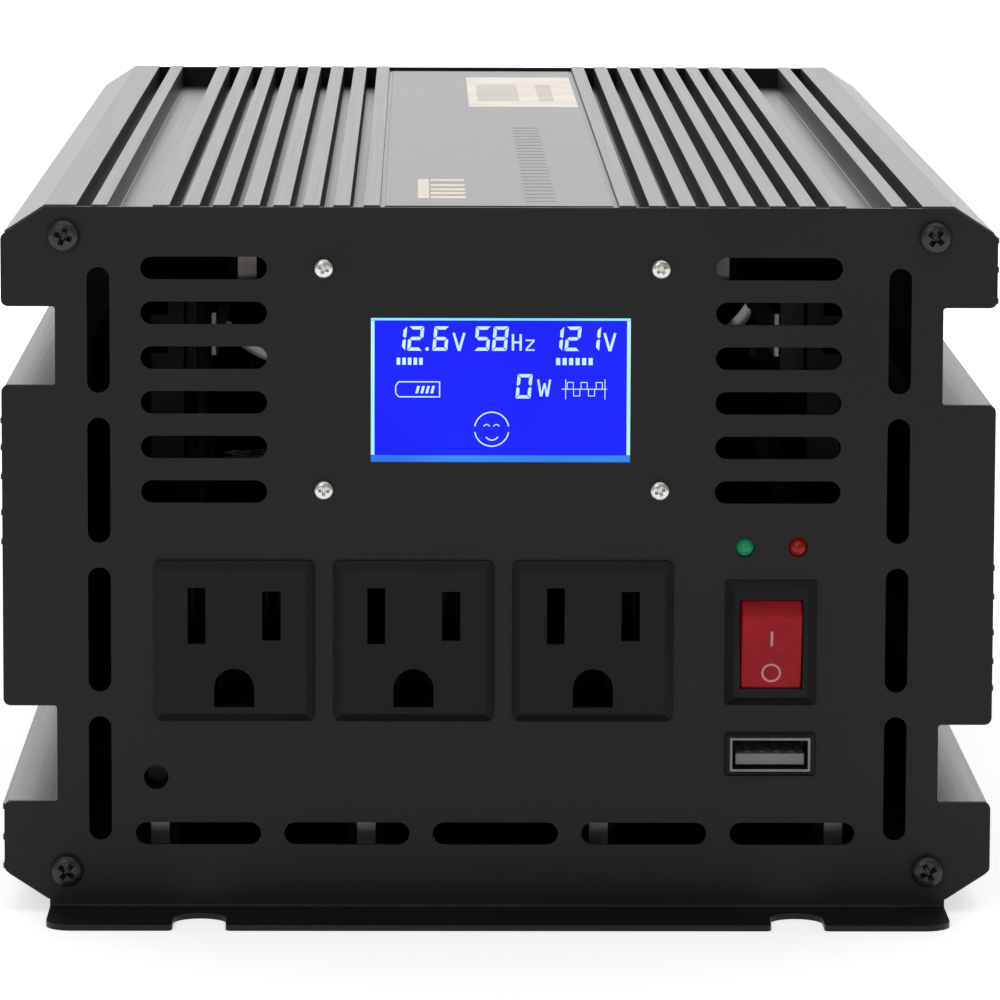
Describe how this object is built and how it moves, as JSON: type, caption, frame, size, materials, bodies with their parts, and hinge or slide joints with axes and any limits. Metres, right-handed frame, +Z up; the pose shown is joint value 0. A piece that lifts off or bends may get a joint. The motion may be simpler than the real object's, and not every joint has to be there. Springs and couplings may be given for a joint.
{
  "type": "power inverter",
  "caption": "Box-shaped power inverter with ribbed casing halves, a front panel with lit display, mains outlets, rocker switch and USB socket, rear fans and battery posts, on flat feet.",
  "frame": {"origin": "centre of the whole box's underside, on the surface the feet stand on", "axes": "+X to the viewer's right along the front panel, +Y from the front panel to the rear, +Z up"},
  "size_m": [0.1688, 0.3874, 0.1211],
  "materials": {
    "casing": "satin black anodised extrusion",
    "panel_paint": "fine matte black powder coat",
    "black_screw": "black zinc, pan head",
    "label": "satin printed film",
    "display": "lit blue display",
    "light_guide": "clear acrylic",
    "board": "green solder mask",
    "nickel": "nickel plated",
    "black_plastic": "satin black moulded plastic",
    "brass": "bright brass",
    "red_rocker": "translucent red",
    "usb_steel": "plated pressed steel",
    "grey_plastic": "moulded",
    "lamp_green": "green tinted lens",
    "lamp_red": "red tinted lens",
    "ferrite": "sintered ferrite",
    "copper": "enamelled and bare copper",
    "capacitor": "dark blue shrink sleeve",
    "fuse": "translucent green",
    "heatsink": "mill finish",
    "epoxy": "black moulded epoxy",
    "steel": "zinc plated",
    "red_plastic": "moulded red",
    "black_gloss": "moulded black",
    "wire_black": "PVC insulation",
    "wire_red": "PVC insulation",
    "ribbon": "grey flat cable"
  },
  "bodies": {
    "root": {"upper_shell": "casing", "lower_shell": "casing", "front_panel": "panel_paint", "rear_panel": "panel_paint", "front_panel_screws": "black_screw", "rear_panel_screws": "black_screw", "top_label": "label", "lcd_glass": "display", "lcd_light_guide": "light_guide", "lcd_board": "board", "lcd_spacers": "nickel", "lcd_screws": "nickel", "outlet_left": "black_plastic", "outlet_centre": "black_plastic", "outlet_right": "black_plastic", "outlet_contacts": "brass", "switch_housing": "black_plastic", "switch_tabs": "brass", "usb_bezel": "black_plastic", "usb_shell": "usb_steel", "usb_tongue": "grey_plastic", "usb_board": "board", "led_green": "lamp_green", "led_red": "lamp_red", "led_board": "board", "alarm_buzzer": "black_plastic", "main_board": "board", "output_board": "board", "board_standoffs": "nickel", "board_screws": "steel", "transformer_cores": "ferrite", "transformer_windings": "copper", "input_capacitors": "capacitor", "battery_fuses": "fuse", "positive_busbar": "copper", "negative_busbar": "copper", "input_heatsinks": "heatsink", "output_heatsinks": "heatsink", "transistors": "epoxy", "transistor_clamps": "steel", "bus_capacitors": "capacitor", "filter_coil": "copper", "fan_left_frame": "black_plastic", "fan_right_frame": "black_plastic", "fan_guards": "steel", "fan_screws": "steel", "red_bushing": "red_plastic", "black_bushing": "black_gloss", "terminal_studs": "brass", "ground_screw": "steel", "outlet_wires": "wire_black", "fan_wires": "wire_red", "display_cable": "ribbon"},
    "switch_rocker": {"switch_rocker": "red_rocker"},
    "fan_left": {"fan_left_rotor": "black_plastic"},
    "fan_right": {"fan_right_rotor": "black_plastic"},
    "red_washer": {"red_washer": "brass"},
    "red_knob": {"red_knob": "red_plastic"},
    "black_washer": {"black_washer": "brass"},
    "black_knob": {"black_knob": "black_gloss"}
  },
  "joints": [
    {"name": "switch_rocker_tilt", "type": "hinge", "parent": "root", "child": "switch_rocker", "pos_m": [0.0463, -0.1756, 0.04675], "axis": [-1, 0, 0], "range_deg": [0, 24]},
    {"name": "fan_left_spin", "type": "hinge", "parent": "root", "child": "fan_left", "pos_m": [-0.036, 0.1622, 0.084], "axis": [0, 1, 0], "continuous": true},
    {"name": "fan_right_spin", "type": "hinge", "parent": "root", "child": "fan_right", "pos_m": [0.036, 0.1622, 0.084], "axis": [0, 1, 0], "continuous": true},
    {"name": "red_washer_slide", "type": "slide", "parent": "root", "child": "red_washer", "axis": [0, 1, 0], "range_m": [0, 0.00501]},
    {"name": "red_knob_turn", "type": "hinge", "parent": "red_washer", "child": "red_knob", "pos_m": [-0.03, 0.1822, 0.028], "axis": [0, 1, 0], "range_deg": [0, 1440]},
    {"name": "black_washer_slide", "type": "slide", "parent": "root", "child": "black_washer", "axis": [0, 1, 0], "range_m": [0, 0.00501]},
    {"name": "black_knob_turn", "type": "hinge", "parent": "black_washer", "child": "black_knob", "pos_m": [0.03, 0.1822, 0.028], "axis": [0, 1, 0], "range_deg": [0, 1440]}
  ],
  "couplings": [
    {"joint": "red_washer_slide", "follows": "red_knob_turn", "m_per_rad": 0.00019894},
    {"joint": "black_washer_slide", "follows": "black_knob_turn", "m_per_rad": 0.00019894}
  ]
}
